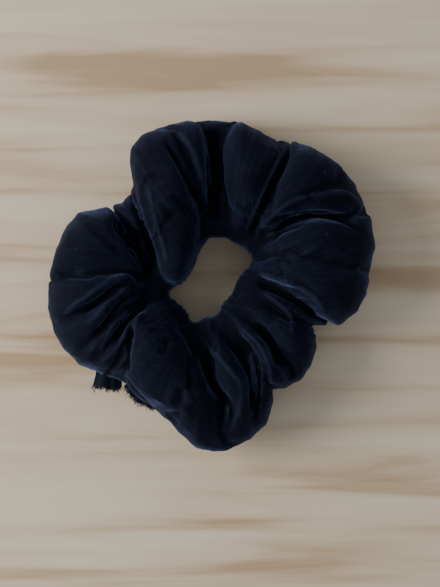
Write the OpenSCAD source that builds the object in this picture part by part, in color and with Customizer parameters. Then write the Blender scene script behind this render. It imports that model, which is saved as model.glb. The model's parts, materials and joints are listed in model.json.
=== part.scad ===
// Velvet hair scrunchie: a tube of velvet gathered onto a loop of braided elastic.
//
// The ring lies flat, with +Z up and the origin under the middle of the hole. The tube is one
// strip of cloth whose two ends meet at the closing seam. A ring that stretches open has no
// hinge, so the strip and the elastic are cut into ten lengths, numbered along the strip from
// one side of the closing seam, right round the ring, to the other side. Each length carries
// one gathered puff (the first and the last share a puff, which the seam divides) and its own
// share of the elastic. The lengths slide apart along the ring as it opens.

/* [Ring] */
// Across the relaxed ring, at its widest puffs
outer_d = 110; // [92:1:132]
// Hole through the relaxed ring
hole_d = 30; // [25:1:36]
// Height of the fullest puff
puff_h = 31; // [26:1:37]

/* [Gathers] */
// Height of the gathered collar round the hole
collar_h = 22; // [18:1:26]
// How far the collar reaches outward from the hole
collar_w = 13; // [11:0.5:16]
// Rounding of the collar's edges
collar_r = 4; // [3:0.5:5]
// Gap between neighbouring lengths of the cover
split = 0.3; // [0.24:0.02:0.4]

/* [Elastic] */
// Width of the braided elastic, which stands on edge
elastic_w = 6; // [5:0.5:8]
// Thickness of the elastic
elastic_t = 1.2; // [1:0.1:1.5]
// Gathered cloth between the hole and the elastic
gather_t = 5.4; // [4.5:0.1:6.5]
// Room between the elastic and the cloth round it
elastic_room = 0.2; // [0.15:0.05:0.25]
// Lap where the two ends of the elastic are sewn together
lap = 8; // [6.5:0.5:10]

/* [Sewing] */
// Thread of the long seam and the closing seam
thread_d = 0.6; // [0.5:0.1:0.8]
// Radius of the closing seam round the gathered tube
closing_r = 8.5; // [7:0.5:10]
// Raw hem left outside the closing seam
hem_l = 9; // [7:0.5:11]
// Thickness of the raw hem, two layers of velvet
hem_t = 3; // [2.5:0.5:4]

/* [Hidden] */
$fn = 64;
eps = 0.01;
seam_a = 224; // direction of the closing seam, seen from the middle of the hole
// Each puff: direction in degrees, reach as a share of the outer radius, height as a share of puff_h
puffs = [
    [224, 0.84, 0.80],
    [252, 1.02, 0.92],
    [290, 0.93, 0.90],
    [320, 0.80, 0.78],
    [365, 0.99, 0.96],
    [402, 1.06, 1.00],
    [437, 1.01, 0.94],
    [475, 1.00, 0.97],
    [541, 0.99, 0.95],
    [584, 0.84, 0.80],
];
last = len(puffs) - 1;
// The small gather that fills the widest space between two puffs
gather = [508, 0.76, 0.80];
mid_z = 14 / 31 * puff_h;
elastic_r = hole_d / 2 + gather_t + elastic_t / 2;
seam_r = hole_d / 2 + 2;
seam_z = mid_z - 6.5;
closing_at = hole_d / 2 + closing_r + 2;
lap_a = lap / elastic_r * 180 / PI;
lap_mid = puffs[5][0];
lap_gap = 0.05; // between the two ends of the elastic at the lap
tack_gap = 0.3; // between the elastic and the tack's inner stitches

// Where length i begins and ends: half way to the next puff, or at the closing seam
function from_a(i) = i == 0 ? seam_a : (puffs[i - 1][0] + puffs[i][0]) / 2;
function to_a(i) = i == last ? seam_a + 360 : (puffs[i][0] + puffs[i + 1][0]) / 2;
function at(r, a) = [r * cos(a), r * sin(a)];
// 1 before angle a0, falling to 0 over the next 4 degrees
function step(a, a0) = max(0, min(1, 1 - (a - a0) / 4));

// The slice of the ring that length i fills, with inset taken off each end
module slice(i, inset = split / 2) {
    a = from_a(i);
    b = to_a(i);
    m = (a + b) / 2;
    tip = at(inset / sin((b - a) / 2), m);
    translate([0, 0, -1])
        linear_extrude(puff_h + 12)
            polygon([tip, tip + at(120, a), tip + at(130, (a + m) / 2), tip + at(135, m),
                     tip + at(130, (b + m) / 2), tip + at(120, b)]);
}

// Half outline of a cushion of the given radius and height, with a rounded rim
module cushion_outline(radius, height) {
    rim = min(height * 0.49, radius - 1);
    square([radius - rim, height]);
    translate([0, rim]) square([radius, height - 2 * rim]);
    for (z = [rim, height - rim])
        intersection() {
            translate([radius - rim, z]) circle(r = rim);
            square([radius + 1, height]);
        }
}

// A plump cushion of gathered cloth, p, flat where it lies on the table
module puff(p) {
    reach = p[1] * outer_d / 2;
    inner = hole_d / 2 + 1.5;
    radius = (reach - inner) / 2;
    translate(at((reach + inner) / 2, p[0]))
        rotate_extrude()
            cushion_outline(radius, p[2] * puff_h);
}

// A ring round the hole with a rectangular section: inner radius r, width w, from z up by h
module band(r, w, z, h) {
    rotate_extrude()
        translate([r, z])
            square([w, h]);
}

// The gathered collar round the hole, whose inner wall grips the hair
module collar() {
    r = collar_r;
    rotate_extrude()
        translate([hole_d / 2, mid_z - collar_h / 2]) {
            translate([r, 0]) square([collar_w - 2 * r, collar_h]);
            translate([0, r]) square([collar_w, collar_h - 2 * r]);
            for (x = [r, collar_w - r], z = [r, collar_h - r])
                translate([x, z]) circle(r = r);
        }
}

// The room inside the collar that the elastic lies in
module elastic_channel(i) {
    extra = i == 5 ? 2 * elastic_t + 0.8 : 0;
    inner_extra = i == 5 ? thread_d + tack_gap : 0;
    band(elastic_r - elastic_t / 2 - elastic_room - inner_extra,
         elastic_t + 2 * elastic_room + extra + inner_extra,
         mid_z - elastic_w / 2 - elastic_room, elastic_w + 2 * elastic_room);
}

// The closing seam: stitches drawn round the gathered tube, just inside the first length
module closing_ring(wire) {
    rotate([0, 0, seam_a])
        translate([closing_at, split / 2 + thread_d / 2 + 0.25, mid_z])
            rotate([90, 0, 0])
                rotate_extrude()
                    translate([closing_r, 0]) circle(d = wire, $fn = 24);
}

// The raw hem that sticks out beside the closing seam, frayed in real life
module hem(side) {
    long = 0.1 * outer_d + hem_l - 1;
    rotate([0, 0, seam_a + (side > 0 ? 10 : -5.6)])
        translate([0.56 * outer_d / 2, 0, 0.22 * puff_h])
            linear_extrude(0.36 * puff_h)
                polygon([[0, -hem_t / 2], [long, -hem_t], [long + 1, 0], [long, hem_t], [0, hem_t / 2]]);
}

// One length of the velvet cover, a solid of its outer shape with room for what it holds
module cover(i) {
    color([0.07, 0.10, 0.19])
        difference() {
            intersection() {
                union() {
                    for (j = [max(0, i - 1) : min(last, i + 1)]) puff(puffs[j]);
                    if (i == 7 || i == 8) puff(gather);
                    collar();
                    if (i == 0) hem(1);
                    if (i == last) hem(-1);
                }
                slice(i);
            }
            cylinder(h = 3 * puff_h, r = hole_d / 2, center = true);
            elastic_channel(i);
            band(seam_r - 0.05, thread_d + 0.1, seam_z - 0.05, thread_d + 0.1);
            if (i == 0) closing_ring(thread_d + 0.1);
        }
}

// One length of the braided elastic
module elastic(i) {
    color([0.16, 0.17, 0.20])
        intersection() {
            band(elastic_r - elastic_t / 2, elastic_t, mid_z - elastic_w / 2, elastic_w);
            slice(i);
        }
}

// An arc of the elastic's section from angle a to angle b, moved outward by out
module elastic_arc(a, b, out = 0) {
    rotate([0, 0, a])
        rotate_extrude(angle = b - a)
            translate([elastic_r - elastic_t / 2 + out, mid_z - elastic_w / 2])
                square([elastic_t, elastic_w]);
}

// The holes that the tack's stitches pass through
module tack_legs(d) {
    for (t = [-0.25, 0.25])
        rotate([0, 0, lap_mid + t * lap_a])
            for (z = [-1.5, 1.5])
                translate([elastic_r - elastic_t, 0, mid_z + z])
                    rotate([0, 90, 0])
                        cylinder(h = 3 * elastic_t + lap_gap, d = d, $fn = 24);
}

// The end of the elastic that lies under the lap
module elastic_end_a() {
    color([0.16, 0.17, 0.20])
        difference() {
            intersection() {
                elastic_arc(from_a(5) - 1, lap_mid + lap_a / 2);
                slice(5);
            }
            tack_legs(thread_d + 0.06);
        }
}

// The end of the elastic that laps over the other one, on the outside, and then steps in beside it
module elastic_end_b() {
    over = elastic_t + lap_gap;
    starts = lap_mid - lap_a / 2;
    steps = lap_mid + lap_a / 2 + 1;
    ends = to_a(5) - asin(split / 2 / elastic_r);
    inner = elastic_r - elastic_t / 2;
    angles = [for (k = [0 : 16]) starts + (ends - starts) * k / 16];
    color([0.16, 0.17, 0.20])
        difference() {
            translate([0, 0, mid_z - elastic_w / 2])
                linear_extrude(elastic_w)
                    polygon(concat([for (a = angles) at(inner + over * step(a, steps), a)],
                                   [for (k = [16 : -1 : 0])
                                       at(inner + elastic_t + over * step(angles[k], steps), angles[k])]));
            tack_legs(thread_d + 0.06);
        }
}

// The tack that sews the lapped ends of the elastic together: two staples of thread, whose inner
// stitches stand a little off the elastic and whose outer ones lie on it
module elastic_tack() {
    inner = elastic_r - elastic_t / 2 - tack_gap - thread_d;
    outer = elastic_r + 1.5 * elastic_t + lap_gap;
    color([0.55, 0.57, 0.62]) {
        tack_legs(thread_d);
        for (t = [-0.25, 0.25])
            rotate([0, 0, lap_mid + t * lap_a])
                for (x = [inner, outer])
                    translate([x, -thread_d / 2, mid_z - 1.5 - thread_d / 2])
                        cube([thread_d, thread_d, 3 + thread_d]);
    }
}

// One length of the long seam's thread, which lies inside the tube
module seam_thread(i) {
    color([0.10, 0.12, 0.20])
        intersection() {
            band(seam_r, thread_d, seam_z, thread_d);
            slice(i);
        }
}

// The thread of the closing seam
module closing_thread() {
    color([0.10, 0.12, 0.20])
        closing_ring(thread_d);
}

cover(0);  // cover_0
cover(1);  // cover_1
cover(2);  // cover_2
cover(3);  // cover_3
cover(4);  // cover_4
cover(5);  // cover_5
cover(6);  // cover_6
cover(7);  // cover_7
cover(8);  // cover_8
cover(9);  // cover_9
elastic(0);  // elastic_0
elastic(1);  // elastic_1
elastic(2);  // elastic_2
elastic(3);  // elastic_3
elastic(4);  // elastic_4
elastic_end_a();
elastic_end_b();
elastic(6);  // elastic_6
elastic(7);  // elastic_7
elastic(8);  // elastic_8
elastic(9);  // elastic_9
seam_thread(0);  // seam_thread_0
seam_thread(1);  // seam_thread_1
seam_thread(2);  // seam_thread_2
seam_thread(3);  // seam_thread_3
seam_thread(4);  // seam_thread_4
seam_thread(5);  // seam_thread_5
seam_thread(6);  // seam_thread_6
seam_thread(7);  // seam_thread_7
seam_thread(8);  // seam_thread_8
seam_thread(9);  // seam_thread_9
closing_thread();
elastic_tack();
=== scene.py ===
"""Velvet hair scrunchie: the looks of the ring, over the frame that holds its bodies and joints.

The cover is one tube of velvet gathered onto an elastic loop. It is built as follows.
1. Each gathered fold is a closed pad that wraps round the elastic, from the hole over the top to
   the outer edge and back underneath. A pad's middle line lies on a parabola through three points
   in plan; across that line it is as wide as a parabola through three half widths says, and in
   the upright plane along the line it is a superellipse from its underside to its top.
2. The pads and a gathered collar round the hole are joined into one skin by a voxel remesh, which is
   fitted to the ring's outline and given the ridges and creases that run along the folds.
3. A short cloth simulation lets the skin grow, so that it buckles into small folds.
4. The skin is finished with fine pleats that run out of the hole and with small ripples, and is
   cut into the nine lengths that lie between neighbouring bodies. The elastic and the thread of
   the long seam are cut in the same way.
"""
import json
import math

import bmesh
import bpy
import numpy as np
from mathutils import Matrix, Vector

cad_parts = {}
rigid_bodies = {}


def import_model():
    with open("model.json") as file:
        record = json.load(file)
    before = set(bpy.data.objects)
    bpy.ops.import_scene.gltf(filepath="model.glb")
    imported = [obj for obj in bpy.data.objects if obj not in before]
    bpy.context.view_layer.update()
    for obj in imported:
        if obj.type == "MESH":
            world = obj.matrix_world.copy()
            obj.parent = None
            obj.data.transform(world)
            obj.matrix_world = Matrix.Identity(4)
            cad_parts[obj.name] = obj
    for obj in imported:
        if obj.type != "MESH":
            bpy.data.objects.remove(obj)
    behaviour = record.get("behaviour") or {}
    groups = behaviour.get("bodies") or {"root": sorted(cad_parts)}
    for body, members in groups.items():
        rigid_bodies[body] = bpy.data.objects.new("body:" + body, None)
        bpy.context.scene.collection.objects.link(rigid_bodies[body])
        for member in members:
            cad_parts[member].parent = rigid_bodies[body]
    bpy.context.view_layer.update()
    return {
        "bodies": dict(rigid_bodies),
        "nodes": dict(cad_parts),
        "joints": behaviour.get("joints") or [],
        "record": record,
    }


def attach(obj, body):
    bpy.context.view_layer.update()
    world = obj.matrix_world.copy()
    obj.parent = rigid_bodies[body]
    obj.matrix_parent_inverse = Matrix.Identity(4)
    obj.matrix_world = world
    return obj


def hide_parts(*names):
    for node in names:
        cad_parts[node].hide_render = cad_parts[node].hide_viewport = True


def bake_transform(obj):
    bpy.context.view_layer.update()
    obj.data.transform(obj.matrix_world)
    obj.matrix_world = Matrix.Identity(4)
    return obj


MM = 0.001

# Directions of the ten bodies' puffs round the ring, in degrees, from the closing seam and back to it
BODY_ANGLES = [224, 252, 290, 320, 365, 402, 437, 475, 541, 584]
SEAM_ANGLE = 224
LENGTHS = len(BODY_ANGLES) - 1

# The skin and its cloth simulation
PAD_RINGS, PAD_AROUND = 40, 36
VOXEL = 1.2 * MM
RIM_STAYS = 27 * MM  # nearer the axis than this the outline's fitting moves nothing
PLUMP = 1.01  # the skin's outline, as a share of OUTLINE
SIM_SCALE = 20  # cloth is simulated this many times as large as life
SIM_FRAMES = 18
GROWTH = 0.09  # how much larger the cloth wants to be, as a share of its size
BENDING = 0.45
PRESSURE = 0.8
HOLD = 0.12  # how firmly every point is held to its place, from 0 to 1
MAX_MOVE = 3 * MM

# The elastic and the sewing, inside the tube
MID_Z = 14 * MM
ELASTIC_RADIUS, ELASTIC_WIDTH, ELASTIC_THICK = 21 * MM, 6 * MM, 1.2 * MM
ELASTIC_RIBS = 8
LAP, LAP_ANGLE, LAP_GAP = 8 * MM, 402, 0.05 * MM  # where its ends lie over each other
SEAM_RADIUS, SEAM_HEIGHT, THREAD = 18.2 * MM, 7.8 * MM, 0.5 * MM
THREAD_TURN = 1.6 * MM  # one turn of the two plies
NAVY_THREAD = ((0.006, 0.008, 0.020), (0.02, 0.026, 0.05))
GREY_THREAD = ((0.10, 0.11, 0.13), (0.26, 0.27, 0.30))


# ---------------------------------------------------------------- small helpers
def link(obj):
    bpy.context.scene.collection.objects.link(obj)
    return obj


def mesh_object(name, verts, faces):
    mesh = bpy.data.meshes.new(name)
    mesh.from_pydata(np.asarray(verts).tolist(), [], np.asarray(faces).tolist())
    mesh.polygons.foreach_set("use_smooth", np.full(len(mesh.polygons), True))
    mesh.update()
    return link(bpy.data.objects.new(name, mesh))


def coords(mesh):
    co = np.empty(len(mesh.vertices) * 3)
    mesh.vertices.foreach_get("co", co)
    return co.reshape(-1, 3)


def set_coords(mesh, co):
    mesh.vertices.foreach_set("co", np.ascontiguousarray(co).ravel())
    mesh.update()


def vertex_normals(mesh):
    n = np.empty(len(mesh.vertices) * 3)
    mesh.vertex_normals.foreach_get("vector", n)
    return n.reshape(-1, 3)


def bake_modifiers(obj):
    """obj's mesh becomes what its modifiers make of it."""
    graph = bpy.context.evaluated_depsgraph_get()
    mesh = bpy.data.meshes.new_from_object(obj.evaluated_get(graph))
    obj.modifiers.clear()
    obj.data = mesh
    return mesh


def turn_outwards(mesh):
    bm = bmesh.new()
    bm.from_mesh(mesh)
    bmesh.ops.recalc_face_normals(bm, faces=bm.faces)
    bm.to_mesh(mesh)
    bm.free()


def smoothstep(x):
    x = np.clip(x, 0, 1)
    return x * x * (3 - 2 * x)


# ---------------------------------------------------------------- camera, floor and light
def set_camera():
    cam = bpy.data.cameras.new("camera")
    cam.lens = 85
    cam.clip_start = 0.01
    obj = link(bpy.data.objects.new("camera", cam))
    obj.location = (0.0027, -0.0032, 0.4825)
    obj.rotation_euler = (0, 0, 0)
    bpy.context.scene.camera = obj


def set_floor():
    s = 1.5
    floor = mesh_object("floor", [(-s, -s, 0), (s, -s, 0), (s, s, 0), (-s, s, 0)], [(0, 1, 2, 3)])
    floor.data.materials.append(pale_wood())


def area_light(name, place, target, size, power, color):
    data = bpy.data.lights.new(name, "AREA")
    data.shape, data.size, data.energy, data.color = "DISK", size, power, color
    obj = link(bpy.data.objects.new(name, data))
    obj.location = place
    obj.rotation_euler = (Vector(target) - Vector(place)).to_track_quat("-Z", "Y").to_euler()


def set_light():
    area_light("window", (-0.72, 0.06, 0.40), (0, 0, 0), 0.6, 7.8, (1.0, 0.97, 0.93))
    world = bpy.data.worlds.new("room")
    world.use_nodes = True
    back = world.node_tree.nodes["Background"]
    back.inputs["Color"].default_value = (0.80, 0.84, 0.90, 1)
    back.inputs["Strength"].default_value = 0.49
    bpy.context.scene.world = world


# ---------------------------------------------------------------- the folds
# Each fold, in millimetres: its middle line's inner, middle and outer point in plan, its half width
# at those three points, and the height of its top
FOLDS = [
    # the long finger that lies over its neighbour, and the narrow fold beside it
    ((-12.4, 0), (-13.5, 26), (-21.5, 50), (6.0, 10.0, 7.5), 31),
    ((-13, -0.5), (-12.5, 9), (-12, 20), (5.0, 6.5, 6.5), 30),
    ((-2, 22), (-4.5, 38), (-10, 53), (2.0, 4.5, 7.0), 25),
    # the low cloth at the bottom of the dark valley
    ((1, 20), (1.5, 36), (1, 55.5), (4.0, 6.0, 10.0), 18),
    # top, with a thin fold on its right
    ((7, 17), (12.5, 34), (13, 53.5), (3.5, 7.5, 10.5), 29),
    ((12, 16.5), (17, 29), (26.5, 46), (1.5, 2.8, 4.5), 28),
    # upper right
    ((13.5, 16.5), (28, 32), (40, 43), (2.5, 8.5, 15.0), 30),
    ((15, 16), (32, 28), (50, 30), (2.0, 5.5, 12.0), 29),
    # the low cloth between them
    ((14, 18), (21, 34), (28, 46.5), (2.0, 4.0, 8.0), 20),
    ((18, 17), (33, 20), (50, 22), (2.0, 4.0, 8.0), 23),
    # right
    ((15.5, 11), (32, 13), (53, 12), (2.5, 7.5, 13.0), 29),
    ((12.5, 5), (31, 3), (46, -5), (3.0, 8.0, 14.0), 30),
    # the pocket, and the small fold under it
    ((11, 0), (24, -6), (33, -12), (2.0, 3.5, 3.0), 23),
    ((8, -4.5), (22, -16), (31, -26), (2.5, 6.5, 9.0), 25),
    # bottom right, three upright folds
    ((5, -10), (17, -26), (16, -47), (2.2, 4.5, 6.5), 28),
    ((-2, -13.5), (6, -30), (7, -50), (2.2, 4.5, 6.0), 27),
    ((-5, -15), (-2, -28), (4, -42), (2.0, 3.0, 4.0), 21),
    # bottom, the big smooth pad
    ((-16, -5), (-17, -27), (2, -52), (8.0, 12.5, 11.0), 30),
    # the tight gathers beside the closing seam
    ((-23, -8), (-29, -17), (-38, -28), (2.0, 3.5, 4.5), 25),
    ((-23, -10), (-27, -21), (-32, -31), (1.8, 2.6, 3.6), 22),
    # left, three ridges that fan out, and the big smooth one
    ((-22, -5), (-33, -14), (-42, -25), (2.0, 3.0, 4.5), 25.5),
    ((-23, -3), (-35, -9), (-48, -20), (2.0, 4.0, 7.0), 28),
    ((-20, -0.5), (-37, -1.5), (-51, -9), (2.5, 4.5, 9.0), 29.5),
    ((-20, 3), (-37, 12), (-48, 14), (3.0, 11.5, 15.0), 29.5),
    # the little gathers behind the finger
    ((-21, 4), (-27, 15), (-32, 23), (1.5, 2.2, 3.0), 19),
    ((-19, 8), (-22.5, 17), (-28, 30), (2.2, 4.0, 5.0), 21),
]
HOLE_MIDDLE = (0, 1)
# The gathered collar: its outer radius, half its height and its middle height
COLLAR = (34.5, 8.1, 12.7)

# Ridges and creases along the folds, in millimetres: points in plan, half width, height over the skin
RIDGES = [
    # the finger's double ridge, and the ridge of its neighbour
    ([(-24.5, 36), (-23.8, 30), (-21.5, 21), (-18, 11), (-16, 4)], 0.9, 1.0),
    ([(-21, 34), (-19, 24), (-15.8, 13), (-14.6, 5)], 0.8, 0.6),
    ([(-14.2, 52), (-7.4, 46), (-4.1, 37), (-0.7, 23)], 1.2, 1.0),
    ([(-16.5, 49), (-11, 40), (-7.5, 33), (-2, 23)], 1.3, -1.6),
    ([(-28, 42), (-27, 31), (-24, 22), (-20.5, 12), (-19, 4)], 1.2, -1.6),
    # the dark valley
    ([(1, 54), (0.5, 40), (0.5, 28), (1.5, 20)], 2.5, -2.0),
    # top right
    ([(23.5, 44), (20, 36), (17, 30), (13, 18)], 0.9, 1.0),
    ([(27, 46), (20.5, 34), (15.5, 23), (12.5, 14)], 1.3, -2.0),
    ([(49, 27), (43.5, 29.6), (35, 29.2), (26.5, 27), (19, 22)], 0.9, 1.0),
    ([(51, 16.5), (43.3, 20.8), (35, 23), (23, 21.5), (17, 18)], 1.2, -1.3),
    ([(16, 15.5), (23, 17.4), (33, 19.8), (42, 19)], 0.9, 0.8),
    # right
    ([(14.5, 4), (20.5, 2.2), (29.7, -1.2), (35, -5.5), (39, -12)], 0.9, 1.1),
    ([(14, 0.5), (22, -2.5), (31, -7.5), (35, -12)], 1.3, -1.6),
    ([(16, -2), (25.5, -9.6), (26.5, -18)], 0.8, 0.8),
    ([(17, 7), (27, 9), (38, 14)], 1.3, 0.4),
    # bottom right
    ([(8, -13), (15.5, -20), (19.2, -28), (20, -39)], 0.9, 1.0),
    ([(-4, -17), (4.4, -26.5), (9.5, -34), (8.6, -47)], 0.9, 1.0),
    ([(-4.5, -22), (1, -34), (6, -41), (5, -50)], 1.3, -1.8),
    ([(9, -16), (14.5, -26), (15.5, -36), (14, -46)], 1.1, -1.6),
    ([(14, -12), (20, -20), (22, -30)], 1.5, -1.4),
    # the big smooth pad's left edge, and its crease beside the hem
    ([(-23, -8), (-25.2, -14), (-26, -21), (-28.5, -28)], 0.8, 0.8),
    ([(-31, -29), (-26, -34.5), (-20, -41)], 0.8, -0.9),
    # beside the closing seam
    ([(-27, -12), (-30.3, -20), (-38, -27)], 0.8, 0.8),
    ([(-26, -13), (-27.5, -22), (-29, -31)], 1.3, -2.2),
    # left
    ([(-24, 1.5), (-29, 2), (-34, 0.4), (-40, -3.5), (-46.5, -8), (-50, -12)], 0.9, 1.2),
    ([(-26, 0.5), (-29, -2), (-33, -5.4), (-36.2, -8.8), (-42, -14.5)], 0.9, 1.0),
    ([(-25, -0.5), (-31, -1), (-37, -5.5), (-44, -11)], 0.9, -1.2),
    ([(-27, -8), (-29.2, -10.5), (-32, -13.2), (-35.5, -19.2), (-38, -23)], 0.8, 1.0),
    ([(-27, -4), (-31, -7.5), (-35, -13), (-41, -19)], 0.9, -1.2),
    ([(-26, -10), (-29, -14), (-33, -21)], 0.8, -1.0),
    ([(-33, 24), (-29, 16), (-23, 8), (-21, 1)], 1.6, -2.4),
    ([(-47, 4), (-38, 4.5), (-29, 4)], 1.5, 0.5),
    ([(-44, 21), (-36, 15), (-28, 8)], 1.5, -0.6),
]

# The ring's outline in plan, in millimetres, round from its right-hand side
OUTLINE = [
    (54.7, 12), (53.4, 20.8), (50.2, 28), (47.9, 33.5), (41.6, 40.2), (33, 45.7), (26.4, 47.8), (20.9, 48.4),
    (15.4, 51.6), (8.6, 55), (-1, 55.6), (-8, 55), (-16.7, 52.5), (-23.5, 49.5), (-26.9, 45.3),
    (-27.3, 40.2), (-26, 32.2), (-30.7, 27.4), (-37, 25.9), (-44.6, 24.2), (-48.8, 19.1),
    (-52.2, 10.6), (-54.6, 0), (-54.8, -7.9), (-53.1, -15.5), (-49.7, -21.5), (-44.6, -27),
    (-39.5, -29), (-33, -31.5), (-28.6, -33.5), (-24.5, -37.5), (-19.3, -41.7), (-10.8, -50.2),
    (-5.7, -54.8), (0.2, -56), (4.4, -55.7), (12.8, -51.9), (18.3, -46.8), (20, -40.9),
    (20.6, -35.4), (24.3, -35), (29.7, -32.4), (33.1, -27.4), (35.1, -21.5), (34.6, -17),
    (34.3, -13.6), (39, -14.7), (43.3, -13.9), (48.3, -9.6), (51.7, -3.7), (53.4, 4.7),
]
# The outline of the hole, in the same way
HOLE = [
    (14.5, 7.3), (13.7, 10.2), (9.5, 12.8), (5.8, 15.6), (1, 16.4), (-1.9, 15.3), (-4.1, 11.5),
    (-6.6, 4.7), (-10.8, 0.5), (-16.4, -3.4), (-11.7, -6.2), (-8.3, -9.6), (-6.6, -14.5),
    (-1.5, -11.3), (2.7, -10.5), (3.6, -6.3), (6.9, -3.7), (8.6, 1.4), (11.2, 4.7),
]


def parabola(s, a, b, c):
    """Through a at s = 0, b at 0.5 and c at 1, and its slope."""
    a, b, c = (np.asarray(v, float) for v in (a, b, c))
    s = s[..., None] if a.ndim else s
    value = (1 - s) * (1 - 2 * s) * a + 4 * s * (1 - s) * b + s * (2 * s - 1) * c
    slope = (4 * s - 3) * a + (4 - 8 * s) * b + (4 * s - 1) * c
    return value, slope


def closed_grid(rings, around):
    """Faces of a closed form: a pole, rings of around points each, and another pole."""
    i, j = np.meshgrid(np.arange(rings - 1), np.arange(around), indexing="ij")
    k = (j + 1) % around
    base = 1 + i * around
    quads = np.stack([base + j, base + k, base + around + k, base + around + j], -1).reshape(-1, 4)
    j = np.arange(around)
    k = (j + 1) % around
    last = 1 + (rings - 1) * around
    caps = [np.stack([np.zeros_like(j), k + 1, j + 1], -1),
            np.stack([np.full_like(j, last + around), last + j, last + k], -1)]
    return quads, np.concatenate(caps)


def wrapped_grid(n, m):
    """Faces of a grid of n by m points that is closed both ways."""
    i, j = np.meshgrid(np.arange(n), np.arange(m), indexing="ij")
    i2, j2 = (i + 1) % n, (j + 1) % m
    return np.stack([i * m + j, i2 * m + j, i2 * m + j2, i * m + j2], -1).reshape(-1, 4)


def pad(inner, middle, outer, half, top, bottom=-1.5):
    """One fold as a closed pad: x runs -1 to 1 along the middle line, and each ring is a rounded
    section whose half width follows half and whose height follows the superellipse in x."""
    a = np.linspace(0, math.pi, PAD_RINGS + 2)[1:-1]
    b = np.linspace(0, 2 * math.pi, PAD_AROUND, endpoint=False)
    A, B = np.meshgrid(a, b, indexing="ij")
    x = -np.cos(A)
    s = (1 + x) / 2
    blunt = np.where(x < 0, 2.2, 3.4)
    q_wide = (1 - np.abs(x) ** blunt) ** (1 / blunt)
    q_high = (1 - np.abs(x) ** 2.3) ** (1 / 2.3)
    place, slope = parabola(s, inner, middle, outer)
    width, _ = parabola(s, *half)
    side = np.stack([-slope[..., 1], slope[..., 0]], -1)
    side /= np.linalg.norm(side, axis=-1, keepdims=True)
    up = np.sign(np.sin(B)) * np.abs(np.sin(B)) ** 0.9 * q_high
    across = np.sign(np.cos(B)) * np.abs(np.cos(B)) ** 0.8 * q_wide
    xy = place + side * (width * across)[..., None]
    z = (top + bottom) / 2 + (top - bottom) / 2 * up
    body = np.concatenate([xy, z[..., None]], -1).reshape(-1, 3)
    mid_z = (top + bottom) / 2
    return np.concatenate([[[*inner, mid_z]], body, [[*outer, mid_z]]])


def collar_ring(outer, half_height, height, n=180, m=40):
    """The gathered collar: a ring from HOLE out to a circle, whose section is a superellipse of
    power 3."""
    u, v = np.meshgrid(np.arange(n) * 2, np.linspace(0, 2 * math.pi, m, endpoint=False), indexing="ij")
    hole = soften(plan_radius(np.array(HOLE) - HOLE_MIDDLE), 7)[::2, None] / MM
    r = (outer + hole) / 2 + (outer - hole) / 2 * np.sign(np.cos(v)) * np.abs(np.cos(v)) ** (2 / 3)
    z = height + half_height * np.sign(np.sin(v)) * np.abs(np.sin(v)) ** (2 / 3)
    x, y = HOLE_MIDDLE
    verts = np.stack([x + r * np.cos(np.radians(u)), y + r * np.sin(np.radians(u)), z], -1).reshape(-1, 3)
    return verts, wrapped_grid(n, m)


def build_skin():
    """All the pads and the collar as one closed skin."""
    quads, caps = closed_grid(PAD_RINGS, PAD_AROUND)
    verts, faces, count = [], [], 0
    for fold in FOLDS:
        v = pad(*fold)
        verts.append(v)
        faces += (quads + count).tolist() + (caps + count).tolist()
        count += len(v)
    v, f = collar_ring(*COLLAR)
    verts.append(v)
    faces += (f + count).tolist()
    mesh = bpy.data.meshes.new("skin")
    mesh.from_pydata((np.concatenate(verts) * MM).tolist(), [], faces)
    skin = link(bpy.data.objects.new("skin", mesh))
    turn_outwards(mesh)
    remesh = skin.modifiers.new("join", "REMESH")
    remesh.mode, remesh.voxel_size, remesh.use_smooth_shade = "VOXEL", VOXEL, True
    relax = skin.modifiers.new("relax", "SMOOTH")
    relax.factor, relax.iterations = 0.5, 5
    bake_modifiers(skin)
    co = fit_outline(coords(skin.data))
    co = raise_ridges(co, vertex_normals(skin.data), 0.6)
    co[:, 2] = settle(co[:, 2])
    set_coords(skin.data, co)
    return skin


def through(points, n=60):
    """A smooth line through points (Catmull-Rom): between two points it is the cubic whose slope at
    each is half the step between that point's neighbours."""
    p = np.asarray(points, float)
    p = np.concatenate([[2 * p[0] - p[1]], p, [2 * p[-1] - p[-2]]])
    u = np.linspace(0, len(points) - 1 - 1e-9, n)
    i, t = u.astype(int), (u % 1)[:, None]
    a, b, c, d = p[i], p[i + 1], p[i + 2], p[i + 3]
    return b + 0.5 * t * (c - a + t * (2 * a - 5 * b + 4 * c - d + t * (3 * (b - c) + d - a)))


def raise_ridges(co, normals, share):
    """Ridges and creases on the upper side: the skin moves along its normal by a share of height over
    (1 + (distance / half width) squared) to the power 1.5, less near each line's ends."""
    lift = np.zeros(len(co))
    upper = smoothstep((normals[:, 2] + 0.1) / 0.5)
    for points, half, height in RIDGES:
        line = through(points) * MM
        near = np.full(len(co), np.inf)
        where = np.zeros(len(co))
        for k, q in enumerate(line):
            d = np.hypot(co[:, 0] - q[0], co[:, 1] - q[1])
            closer = d < near
            near[closer], where[closer] = d[closer], k / (len(line) - 1)
        ends = smoothstep(where / 0.2) * smoothstep((1 - where) / 0.25)
        lift += height * MM / (1 + (near / (half * MM)) ** 2) ** 1.5 * ends
    return co + normals * (share * lift * upper)[:, None]


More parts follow.
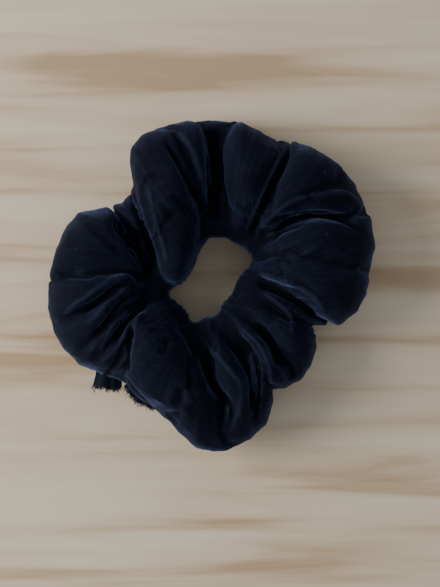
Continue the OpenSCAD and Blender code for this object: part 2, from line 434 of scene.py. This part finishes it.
def grow(skin):
    """A short cloth simulation in which the skin wants to be larger than it is, held fast round the
    hole, so that it buckles into folds as cloth does. It runs SIM_SCALE times as large as life."""
    co = coords(skin.data)
    set_coords(skin.data, co * SIM_SCALE)
    r = np.hypot(co[:, 0], co[:, 1] - 1 * MM)
    held = np.maximum(1 - smoothstep((r - 19 * MM) / (7 * MM)), HOLD)
    group = skin.vertex_groups.new(name="held")
    for level in np.unique(np.round(held, 1)):
        index = np.flatnonzero(np.round(held, 1) == level)
        group.add(index.tolist(), float(level), "REPLACE")
    cloth = skin.modifiers.new("cloth", "CLOTH")
    s = cloth.settings
    s.quality = 6
    s.mass = 0.3
    s.tension_stiffness = s.compression_stiffness = 20
    s.shear_stiffness = 8
    s.bending_stiffness = BENDING
    s.tension_damping = s.compression_damping = 5
    s.shear_damping = 5
    s.bending_damping = 0.5
    s.air_damping = 2
    s.shrink_min = s.shrink_max = -GROWTH
    s.use_pressure = True
    s.uniform_pressure_force = PRESSURE
    s.vertex_group_mass = "held"
    s.pin_stiffness = 2
    s.effector_weights.gravity = 0
    cloth.collision_settings.use_collision = False
    cloth.collision_settings.use_self_collision = False
    cloth.point_cache.frame_start = 1
    cloth.point_cache.frame_end = SIM_FRAMES
    scene = bpy.context.scene
    for frame in range(1, SIM_FRAMES + 1):
        scene.frame_set(frame)
    moved = bake_modifiers(skin)
    after = coords(moved) / SIM_SCALE
    scene.frame_set(1)
    step = after - co
    length = np.linalg.norm(step, axis=1)
    step *= (np.minimum(length, MAX_MOVE) / np.maximum(length, 1e-9))[:, None]
    co = fit_outline(co + step)
    co[:, 2] = settle(co[:, 2])
    set_coords(skin.data, co)
    trim_fins(skin.data)


def plan_radius(points, bins=360):
    """The radius of a closed plan outline at each whole degree, by straight lines between points."""
    p = np.asarray(points) * MM
    p = np.linspace(p, np.roll(p, -1, axis=0), 30, endpoint=False).transpose(1, 0, 2).reshape(-1, 2)
    angle = np.degrees(np.arctan2(p[:, 1], p[:, 0])) % 360
    order = np.argsort(angle)
    return np.interp(np.arange(bins), angle[order], np.hypot(p[:, 0], p[:, 1])[order], period=360)


def outer_radius(angle, r, bins=360):
    """The largest radius of the points in each degree, filled round any empty degree."""
    found = np.full(bins, np.nan)
    order = np.argsort(angle)
    a, rr = angle[order].astype(int) % bins, r[order]
    first = np.flatnonzero(np.r_[True, a[1:] != a[:-1]])
    found[a[first]] = np.maximum.reduceat(rr, first)
    good = np.flatnonzero(~np.isnan(found))
    return np.interp(np.arange(bins), good, found[good], period=bins)


def soften(ring, width):
    """A ring of values, averaged round the ring."""
    k = np.hanning(2 * width + 1)[1:-1]
    k /= k.sum()
    n = len(k) // 2
    return np.convolve(np.r_[ring[-n:], ring, ring[:n]], k, "valid")


def fit_outline(co):
    """Draws the skin's plan outline in or out to OUTLINE: the shift is whole at the rim and fades to
    nothing at RIM_STAYS."""
    r = np.hypot(co[:, 0], co[:, 1])
    angle = np.degrees(np.arctan2(co[:, 1], co[:, 0])) % 360
    now = soften(outer_radius(angle, r), 3)
    want = soften(plan_radius(OUTLINE), 2) * PLUMP
    now_r = np.interp(angle, np.arange(360), now, period=360)
    want_r = np.interp(angle, np.arange(360), want, period=360)
    share = smoothstep((r - RIM_STAYS) / (now_r - RIM_STAYS))
    out = co.copy()
    out[:, :2] += co[:, :2] / np.maximum(r, 1e-6)[:, None] * ((want_r - now_r) * share)[:, None]
    return out


def settle(z, soft=1.2 * MM):
    """Heights at or below the table come up to it, with a soft bend just above."""
    t = z / soft
    return np.where(z > 2 * soft, z, soft * 0.5 * np.log1p(np.exp(np.clip(2 * t, -50, 50))))


def around_hole(co):
    """Each point's direction and distance from the middle of the hole."""
    x, y = co[:, 0] - HOLE_MIDDLE[0] * MM, co[:, 1] - HOLE_MIDDLE[1] * MM
    return np.arctan2(y, x), np.hypot(x, y)


def finish_surface(skin):
    """Fine pleats that run out of the hole, 1 minus the sine's size round an uneven count, and small
    ripples that mostly run outwards, the sum of 24 waves. Both only stand out from the skin."""
    mesh = skin.data
    co, normals = coords(mesh), vertex_normals(mesh)
    a, r = around_hole(co)
    uneven = 1.1 * np.sin(3 * a + 1) + 0.9 * np.sin(7 * a + 2) + 0.7 * np.sin(11 * a + 0.5)
    pleat = (1 - np.abs(np.sin(17 * a + uneven + 25 * (r / (40 * MM)) * np.sin(2 * a)))) ** 1.5
    inside = smoothstep(-(normals[:, 0] * np.cos(a) + normals[:, 1] * np.sin(a)) / 0.7)
    reach = (6 + 10 * inside) * MM
    low = 1 - smoothstep((co[:, 2] - 17 * MM) / (7 * MM))
    lift = (0.05 + 0.45 * inside * low) * MM * pleat * (1 - smoothstep((r - 14 * MM) / reach))
    rng = np.random.default_rng(7)
    waves = np.zeros(len(co))
    for _ in range(24):
        turns = rng.integers(14, 60)
        outward, upward = rng.normal(0, 110, 2)
        phase = rng.uniform(0, 2 * math.pi)
        waves += np.sin(turns * a + outward * r + upward * co[:, 2] + phase) / math.sqrt(12)
    lift += 0.14 * MM * np.exp(-np.abs(waves) * 2.2)
    co = fit_outline(raise_ridges(co + normals * lift[:, None], normals, 0.85))
    co[:, 2] = np.maximum(co[:, 2], 0)
    set_coords(mesh, co)


def stand_out(mesh, rounds):
    """Each point's distance, along its normal, from where it would be after rounds of averaging with
    its neighbours: above 0 on a ridge and below 0 in a valley."""
    co, normals = coords(mesh), vertex_normals(mesh)
    edges = np.empty(len(mesh.edges) * 2, int)
    mesh.edges.foreach_get("vertices", edges)
    i, j = edges.reshape(-1, 2).T
    count = np.bincount(i, minlength=len(co)) + np.bincount(j, minlength=len(co))
    smooth = co.copy()
    for _ in range(rounds):
        total = np.stack([np.bincount(i, smooth[j, k], len(co)) + np.bincount(j, smooth[i, k], len(co))
                          for k in range(3)], -1)
        smooth = 0.4 * smooth + 0.6 * total / count[:, None]
    return ((co - smooth) * normals).sum(1)


def trim_fins(mesh, rounds=8, most=0.5 * MM):
    """Lowers every point that stands out by more than most, four times over."""
    for _ in range(4):
        over = np.maximum(stand_out(mesh, rounds) - most, 0)
        set_coords(mesh, coords(mesh) - vertex_normals(mesh) * over[:, None])


def crest_of(mesh, rounds=7):
    """How far each point stands out from its surroundings, from 0 in a valley to 1 on a ridge; the velvet
    paints shade in the valleys and a highlight on the ridges from it.
    """
    return np.clip(0.5 + stand_out(mesh, rounds) / (0.5 * MM), 0, 1)


# ---------------------------------------------------------------- materials
def new_material(name, rough, specular, sheen=0.0, sheen_rough=0.3, tint=(1, 1, 1)):
    m = bpy.data.materials.new(name)
    m.use_nodes = True
    shader = m.node_tree.nodes["Principled BSDF"]
    shader.inputs["Roughness"].default_value = rough
    shader.inputs["Specular IOR Level"].default_value = specular
    shader.inputs["Sheen Weight"].default_value = sheen
    shader.inputs["Sheen Roughness"].default_value = sheen_rough
    shader.inputs["Sheen Tint"].default_value = (*tint, 1)
    return m, m.node_tree, shader


def noise_node(nt, scale, detail=3.0, rough=0.5):
    """Noise over Object coordinates."""
    place = nt.nodes.new("ShaderNodeTexCoord")
    node = nt.nodes.new("ShaderNodeTexNoise")
    node.inputs["Scale"].default_value = scale
    node.inputs["Detail"].default_value = detail
    node.inputs["Roughness"].default_value = rough
    nt.links.new(place.outputs["Object"], node.inputs["Vector"])
    return node


def ramp_node(nt, source, stops):
    """A colour ramp over source: stops are (position, colour)."""
    node = nt.nodes.new("ShaderNodeValToRGB")
    ramp = node.color_ramp
    while len(ramp.elements) < len(stops):
        ramp.elements.new(0.5)
    for element, (position, color) in zip(ramp.elements, stops):
        element.position = position
        element.color = (*color, 1)
    nt.links.new(source, node.inputs["Fac"])
    return node


def bump_node(nt, height, strength, distance, after=None):
    node = nt.nodes.new("ShaderNodeBump")
    node.inputs["Strength"].default_value = strength
    node.inputs["Distance"].default_value = distance
    nt.links.new(height, node.inputs["Height"])
    if after:
        nt.links.new(after.outputs["Normal"], node.inputs["Normal"])
    return node


def math_node(nt, operation, a, b):
    node = nt.nodes.new("ShaderNodeMath")
    node.operation = operation
    for socket, value in zip(node.inputs, (a, b)):
        if isinstance(value, (int, float)):
            socket.default_value = value
        else:
            nt.links.new(value, socket)
    return node.outputs["Value"]


def velvet():
    """Navy velvet: darker in random patches where the pile leans away, with painted shade in the valleys and
    a painted highlight on the ridges, from each point's crest, with the speckle of the pile and the fine
    crush lines of cloth that has been gathered for long."""
    m, nt, shader = new_material("velvet", 0.85, 0.10, 0.38, 0.34, (0.30, 0.40, 0.86))
    # The crest attribute, 0 in a valley and 1 on a ridge, adds painted shade in the valleys and a painted
    # highlight on the ridges to the random pile patches
    painted_light_crest = nt.nodes.new("ShaderNodeAttribute")
    painted_light_crest.attribute_name = "painted_light_crest"
    patches = noise_node(nt, 110, 5, 0.6)
    speckle = noise_node(nt, 1500, 3, 0.7)
    patches_and_painted_light = math_node(nt, "MULTIPLY_ADD", patches.outputs["Fac"], 0.75)
    nt.links.new(painted_light_crest.outputs["Fac"], patches_and_painted_light.node.inputs[2])
    grain = math_node(nt, "MULTIPLY_ADD", speckle.outputs["Fac"], 0.45)
    nt.links.new(patches_and_painted_light, grain.node.inputs[2])
    level = math_node(nt, "MULTIPLY", grain, 0.46)
    color = ramp_node(nt, level, [(0.28, (0.0005, 0.0008, 0.0024)), (0.50, (0.0020, 0.0030, 0.0092)),
                                  (0.62, (0.0044, 0.0064, 0.0165)), (0.80, (0.0125, 0.0170, 0.0360))])
    nt.links.new(color.outputs["Color"], shader.inputs["Base Color"])
    crush = noise_node(nt, 210, 4, 0.55)
    crush.noise_type = "RIDGED_MULTIFRACTAL"
    pile = noise_node(nt, 2600, 3, 0.6)
    lines = bump_node(nt, crush.outputs["Fac"], 0.5, 0.0004)
    fine = bump_node(nt, pile.outputs["Fac"], 0.55, 0.0003, lines)
    nt.links.new(fine.outputs["Normal"], shader.inputs["Normal"])
    return m


def pale_wood():
    """The table: pale wood whose grain runs from side to side."""
    m, nt, shader = new_material("pale_wood", 0.7, 0.3)
    grain = noise_node(nt, 1, 4, 0.5)
    grain.inputs["Distortion"].default_value = 0.6
    along = nt.nodes.new("ShaderNodeMapping")
    along.inputs["Scale"].default_value = (6, 75, 1)
    nt.links.new(grain.inputs["Vector"].links[0].from_socket, along.inputs["Vector"])
    nt.links.new(along.outputs["Vector"], grain.inputs["Vector"])
    color = ramp_node(nt, grain.outputs["Fac"], [(0.34, (0.50, 0.35, 0.21)), (0.47, (0.68, 0.555, 0.385)),
                                                 (0.60, (0.74, 0.635, 0.47))])
    nt.links.new(color.outputs["Color"], shader.inputs["Base Color"])
    return m


def frayed():
    """The cut edge's loose yarn, greyer than the pile."""
    m, nt, shader = new_material("frayed_yarn", 0.9, 0.15, 0.3, 0.4, (0.4, 0.5, 0.8))
    uneven = noise_node(nt, 900, 2)
    stops = [(0.35, (0.006, 0.009, 0.020)), (0.7, (0.030, 0.036, 0.058))]
    color = ramp_node(nt, uneven.outputs["Fac"], stops)
    nt.links.new(color.outputs["Color"], shader.inputs["Base Color"])
    return m


def lint_fibre():
    m, nt, shader = new_material("lint", 0.8, 0.2)
    uneven = noise_node(nt, 1200, 2)
    color = ramp_node(nt, uneven.outputs["Fac"], [(0.3, (0.035, 0.042, 0.075)), (0.7, (0.11, 0.12, 0.17))])
    nt.links.new(color.outputs["Color"], shader.inputs["Base Color"])
    return m


def braided():
    """The elastic's covering yarn: grey-black, with a fine rib across the width."""
    m, nt, shader = new_material("braided_elastic", 0.7, 0.3)
    uneven = noise_node(nt, 700, 3)
    stops = [(0.35, (0.012, 0.013, 0.018)), (0.7, (0.040, 0.042, 0.052))]
    color = ramp_node(nt, uneven.outputs["Fac"], stops)
    fuzz = noise_node(nt, 4000, 2)
    bump = bump_node(nt, fuzz.outputs["Fac"], 0.5, 0.0001)
    nt.links.new(color.outputs["Color"], shader.inputs["Base Color"])
    nt.links.new(bump.outputs["Normal"], shader.inputs["Normal"])
    return m


def sewing_thread(name, dark, light):
    """Twisted polyester thread, faintly glossy, its shade uneven along its length."""
    m, nt, shader = new_material(name, 0.5, 0.4)
    uneven = noise_node(nt, 2500, 2)
    color = ramp_node(nt, uneven.outputs["Fac"], [(0.35, dark), (0.65, light)])
    bump = bump_node(nt, uneven.outputs["Fac"], 0.6, 0.0001)
    nt.links.new(color.outputs["Color"], shader.inputs["Base Color"])
    nt.links.new(bump.outputs["Normal"], shader.inputs["Normal"])
    return m


# ---------------------------------------------------------------- cutting the skin into lengths
def unit(angle):
    a = math.radians(angle)
    return np.array([math.cos(a), math.sin(a)])


def length_of(co):
    """Which of the nine lengths each point lies in, by its direction from the ring's axis."""
    angle = (np.degrees(np.arctan2(co[:, 1], co[:, 0])) - SEAM_ANGLE) % 360 + SEAM_ANGLE
    return np.clip(np.searchsorted(BODY_ANGLES, angle, side="right") - 1, 0, LENGTHS - 1)


def cut_lengths(skin, painted_light_crest, material):
    """Cuts the skin by the direction of each face's middle from the ring's axis, so that every border
    lies where one body's puff is fullest. Each length keeps the whole skin's normals."""
    mesh = skin.data
    co, normals = coords(mesh), vertex_normals(mesh)
    count = len(mesh.polygons)
    centre = np.empty(count * 3)
    mesh.polygons.foreach_get("center", centre)
    corners = np.empty(len(mesh.loops), int)
    mesh.loops.foreach_get("vertex_index", corners)
    corners = corners.reshape(-1, 4)
    part = length_of(centre.reshape(-1, 3))
    pieces = []
    for k in range(LENGTHS):
        faces = corners[part == k]
        used, index = np.unique(faces, return_inverse=True)
        obj = mesh_object(f"velvet_{k}", co[used], index.reshape(-1, 4))
        # each length carries the crest, from which the velvet paints shade in the valleys and a highlight on
        # the ridges
        obj.data.attributes.new("painted_light_crest", "FLOAT", "POINT").data.foreach_set("value", painted_light_crest[used])
        obj.data.normals_split_custom_set_from_vertices(normals[used].tolist())
        obj.data.materials.append(material)
        pieces.append((obj, used))
    return pieces


def bends(pieces, co):
    """Two points for each length, as (start, end), between its two borders."""
    seen = np.zeros(len(co), int)
    for _, used in pieces:
        seen[used] += 1
    result = []
    for k, (_, used) in enumerate(pieces):
        middle = (BODY_ANGLES[k] + BODY_ANGLES[k + 1]) / 2
        along = unit(middle + 90)
        t = co[used[seen[used] > 1], :2] @ along
        m = unit(middle) * 35 * MM
        start, end = m + along * (t[t < 0].max() + 0.2 * MM), m + along * (t[t > 0].min() - 0.2 * MM)
        result.append(((*start, MID_Z), (*end, MID_Z)))
    return result


# ---------------------------------------------------------------- elastic, thread and hems
def swept(name, path, out, section, material):
    """A closed section carried along path: point = path + out * section's x + up * section's y, for
    each step of the path, with a flat cap at each end. section may be one outline or one per step."""
    n = len(path)
    section = np.broadcast_to(section, (n, *np.shape(section)[-2:]))
    m = section.shape[1]
    verts = path[:, None] + out[:, None] * section[..., :1]
    verts[..., 2] += section[..., 1]
    i, j = np.meshgrid(np.arange(n - 1), np.arange(m), indexing="ij")
    j2 = (j + 1) % m
    faces = np.stack([i * m + j, i * m + j2, (i + 1) * m + j2, (i + 1) * m + j], -1).reshape(-1, 4)
    faces = faces.tolist() + [list(range(m))[::-1], list(range((n - 1) * m, n * m))]
    mesh = bpy.data.meshes.new(name)
    mesh.from_pydata(verts.reshape(-1, 3).tolist(), [], faces)
    mesh.polygons.foreach_set("use_smooth", np.full(len(mesh.polygons), True))
    turn_outwards(mesh)
    mesh.materials.append(material)
    return link(bpy.data.objects.new(name, mesh))


def ring_path(a, b, radius, z, step):
    """Points along a level arc from angle a to angle b in degrees, and the outward direction there."""
    angle = np.radians(np.linspace(a, b, max(8, int(radius * math.radians(b - a) / step))))
    out = np.stack([np.cos(angle), np.sin(angle), np.zeros_like(angle)], -1)
    return out * np.reshape(radius, (-1, 1)) + np.array([0, 0, z]), out, angle


def elastic_lengths(material):
    """Braided elastic on edge: a flat section with eight ribs across its width, whose crossings make
    each rib swell and thin along the band. The end of one length lies over the other at the lap."""
    pieces = []
    half_lap = math.degrees(LAP / ELASTIC_RADIUS) / 2
    v = np.linspace(0, 2 * math.pi, 64, endpoint=False)
    for k in range(LENGTHS):
        a = BODY_ANGLES[k] - (half_lap if BODY_ANGLES[k] == LAP_ANGLE else 0)
        b = BODY_ANGLES[k + 1] + (half_lap if BODY_ANGLES[k + 1] == LAP_ANGLE else 0)
        path, out, angle = ring_path(a, b, ELASTIC_RADIUS, MID_Z, 0.4 * MM)
        if BODY_ANGLES[k] == LAP_ANGLE:
            over = 1 - smoothstep((np.degrees(angle) - (LAP_ANGLE + half_lap)) / 4)
            path += out * (over * (ELASTIC_THICK + LAP_GAP))[:, None]
        x = np.sign(np.cos(v)) * np.abs(np.cos(v)) ** 0.4 * ELASTIC_THICK / 2
        y = np.sign(np.sin(v)) * np.abs(np.sin(v)) ** 0.9 * ELASTIC_WIDTH / 2
        along = angle[:, None] * ELASTIC_RADIUS / (1.1 * MM) * math.pi
        across = ELASTIC_RIBS * math.pi * y / ELASTIC_WIDTH
        rib = np.abs(np.sin(across))
        thin = 1 - 0.16 * (1 - rib) - 0.05 * np.sin(along + np.sign(x) * 1.5 + across)
        section = np.stack([x * thin, np.broadcast_to(y, thin.shape)], -1)
        pieces.append(swept(f"elastic_braid_{k}", path, out, section, material))
    return pieces


def thread_lengths(material):
    """The long seam's thread: two plies twisted together, one turn to 1.6 mm."""
    pieces = []
    v = np.linspace(0, 2 * math.pi, 16, endpoint=False)
    for k in range(LENGTHS):
        ends = BODY_ANGLES[k:k + 2]
        path, out, angle = ring_path(*ends, SEAM_RADIUS, SEAM_HEIGHT, 0.2 * MM)
        turn = angle[:, None] * SEAM_RADIUS / THREAD_TURN * 2 * math.pi
        size = THREAD / 2 * (0.65 + 0.35 * np.abs(np.cos(v[None] - turn)))
        section = np.stack([size * np.cos(v), size * np.sin(v)], -1)
        pieces.append(swept(f"seam_stitching_{k}", path, out, section, material))
    return pieces


# The two raw hem ends beside the closing seam: where the middle of each starts in plan, its outward
# direction in degrees, its length, half width, lowest height and droop, in millimetres, and its body
HEMS = [
    ("hem_end_a", (-19.5, -31.5), 233, 10.0, 6.2, 8.0, 2.5, 0),
    ("hem_end_b", (-34.7, -20.5), 266, 14.8, 4.6, 12.0, 6.0, 9),
]


def hem_end(name, start, angle, long, half, low, droop, seed, material):
    """A doubled raw end: two crumpled layers, each start + long * s outwards and half * t sideways,
    whose height falls by droop * s squared and has a few waves that grow towards the cut edge."""
    rng = np.random.default_rng(seed)
    d, side = unit(angle), unit(angle + 90)
    n, m = 40, 36
    s, t = np.meshgrid(np.linspace(0, 1, n), np.linspace(-1, 1, m), indexing="ij")
    i, j = np.meshgrid(np.arange(n - 1), np.arange(m - 1), indexing="ij")
    q = i * m + j
    quads = np.stack([q, q + m, q + m + 1, q + 1], -1).reshape(-1, 4)
    points, faces, edge = [], [], []
    for layer in range(2):
        p = rng.uniform(0, 6, 6)
        reach = long * s + (0.6 * np.sin(4 * t + p[0]) + 0.3 * np.sin(11 * t + p[1])) * s
        wide = half * t * (1 - 0.12 * np.sin(math.pi * s)) + 0.4 * np.sin(5 * s + p[2])
        wave = np.sin(4.5 * t + p[3] + 1.5 * s) + 0.4 * np.sin(9 * t + p[4])
        wave += 0.3 * np.sin(9 * s + 3 * t + p[5])
        curl = 1.6 * t ** 2 * (1 if layer else -0.4)
        z = low - droop * s ** 2 + layer * (2.4 + 1.6 * s) + wave * (0.3 + 0.45 * s) - curl
        xy = np.array(start) + d * reach[..., None] + side * wide[..., None]
        grid = np.concatenate([xy, z[..., None]], -1) * MM
        points.append(grid.reshape(-1, 3))
        faces.append(quads + layer * n * m)
        edge.append(grid[-1])
    obj = mesh_object(name, np.concatenate(points), np.concatenate(faces))
    obj.data.materials.append(material)
    wall = obj.modifiers.new("wall", "SOLIDIFY")
    wall.thickness, wall.offset = 1.1 * MM, 0
    soft = obj.modifiers.new("round", "SUBSURF")
    soft.levels = soft.render_levels = 1
    bake_modifiers(obj)
    # The flaps' crest is held at 0.75 or more, so the velvet paints them lighter with its painted ridge
    # highlight and never gives them painted valley shade
    painted_light_crest = obj.data.attributes.new("painted_light_crest", "FLOAT", "POINT")
    painted_light_crest.data.foreach_set("value", np.maximum(crest_of(obj.data, 3), 0.75))
    return obj, np.concatenate(edge), np.array([*d, 0])


def fibres(name, roots, ends, curl, radius, material, seed):
    """Tapered fibres, each a three-sided tube of six rings: root + (end - root) * s + a sideways
    curl that grows as s squared."""
    rng = np.random.default_rng(seed)
    n = len(roots)
    s = np.linspace(0, 1, 6)
    sway = rng.normal(0, 1, (n, 3))
    wiggle = rng.normal(0, 1, (n, 3))
    path = roots[:, None] + (ends - roots)[:, None] * s[None, :, None]
    along = s[None, :, None]
    path = path + curl * (sway[:, None] * along ** 2 + 0.4 * wiggle[:, None] * np.sin(7 * along))
    path[..., 2] = np.maximum(path[..., 2], 0.2 * MM)
    forward = ends - roots
    forward /= np.linalg.norm(forward, axis=1, keepdims=True)
    a = np.cross(forward, [0.3, 0.2, 1.0])
    a /= np.linalg.norm(a, axis=1, keepdims=True)
    b = np.cross(forward, a)
    turn = np.linspace(0, 2 * math.pi, 3, endpoint=False)
    x, y = (f(turn)[None, None, :, None] for f in (np.cos, np.sin))
    ring = a[:, None, None] * x + b[:, None, None] * y
    thick = radius * (1 - 0.6 * s)[None, :, None, None]
    verts = (path[:, :, None] + ring * thick).reshape(-1, 3)
    i, j = np.meshgrid(np.arange(5), np.arange(3), indexing="ij")
    k = (j + 1) % 3
    one = np.stack([i * 3 + j, i * 3 + k, i * 3 + 3 + k, i * 3 + 3 + j], -1).reshape(-1, 4)
    first = np.arange(n)[:, None] * 18
    quads = (first[..., None] + one).reshape(-1, 4)
    caps = np.concatenate([first + [2, 1, 0], first + [15, 16, 17]])
    mesh = bpy.data.meshes.new(name)
    mesh.from_pydata(verts.tolist(), [], quads.tolist() + caps.tolist())
    mesh.polygons.foreach_set("use_smooth", np.ones(len(mesh.polygons), bool))
    mesh.materials.append(material)
    return link(bpy.data.objects.new(name, mesh))


def fringe(name, edge, outward, material, seed, count=240):
    """Loose yarn along a raw edge, mostly outwards and a little down."""
    rng = np.random.default_rng(seed)
    roots = edge[rng.integers(0, len(edge), count)] + rng.normal(0, 0.35 * MM, (count, 3))
    lean = rng.normal(0, 0.55, (count, 3)) + outward * 1.2
    lean /= np.linalg.norm(lean, axis=1, keepdims=True)
    ends = roots + lean * rng.uniform(0.3, 1.0, (count, 1)) * MM
    return fibres(name, roots, ends, 0.2 * MM, 0.14 * MM, material, seed + 1)


def lint(name, co, normals, material, seed, count=4):
    """A few stray fibres that lie on the upper side of a length."""
    rng = np.random.default_rng(seed)
    upper = np.flatnonzero(normals[:, 2] > 0.7)
    pick = rng.choice(upper, count)
    n = normals[pick]
    across = np.cross(n, rng.normal(0, 1, (count, 3)))
    across /= np.linalg.norm(across, axis=1, keepdims=True)
    roots = co[pick] + n * 0.15 * MM
    ends = roots + across * rng.uniform(1.0, 2.6, (count, 1)) * MM + n * 0.25 * MM
    return fibres(name, roots, ends, 0.5 * MM, 0.045 * MM, material, seed + 1)


def dress_frame(frame):
    """Materials for the CAD pieces that stay: the closing seam's thread and the elastic's tack."""
    for node, material in (("closing_thread", sewing_thread("navy_thread", *NAVY_THREAD)),
                           ("elastic_tack", sewing_thread("grey_thread", *GREY_THREAD))):
        for slot in frame["nodes"][node].material_slots:
            slot.material = material


def main():
    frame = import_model()
    set_camera()
    set_floor()
    set_light()

    skin = build_skin()
    grow(skin)
    finer = skin.modifiers.new("finer", "SUBSURF")
    finer.levels = finer.render_levels = 1
    bake_modifiers(skin)
    finish_surface(skin)
    cloth = velvet()
    pieces = cut_lengths(skin, crest_of(skin.data), cloth)
    where = bends(pieces, coords(skin.data))
    bpy.data.objects.remove(skin)

    yarn, fluff = frayed(), lint_fibre()
    for index, (name, *shape, body) in enumerate(HEMS):
        flap, edge, outward = hem_end(name, *shape, 30 + index, cloth)
        tuft = fringe(name.replace("hem_end", "fringe"), edge, outward, yarn, 40 + index)
        for obj in (flap, tuft):
            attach(obj, f"length_{body}")

    elastic_nodes = [[f"elastic_{k}"] for k in range(LENGTHS)]
    elastic_nodes[5] = ["elastic_end_b"]
    elastic_nodes[4].append("elastic_end_a")
    elastic_nodes[8].append("elastic_9")
    elastic = elastic_lengths(braided())
    thread = thread_lengths(sewing_thread("seam_thread", *NAVY_THREAD))
    for k, (obj, _) in enumerate(pieces):
        stray = lint(f"lint_{k}", coords(obj.data), vertex_normals(obj.data), fluff, 60 + k)
        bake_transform(stray)
        numbers = [k, LENGTHS] if k == LENGTHS - 1 else [k]
        for piece, slot, nodes in ((obj, "velvet", [f"cover_{i}" for i in numbers]),
                                   (elastic[k], "elastic", elastic_nodes[k]),
                                   (thread[k], "seam_thread", [f"seam_thread_{i}" for i in numbers])):
            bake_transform(piece)
            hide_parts(*nodes)
    dress_frame(frame)


main()
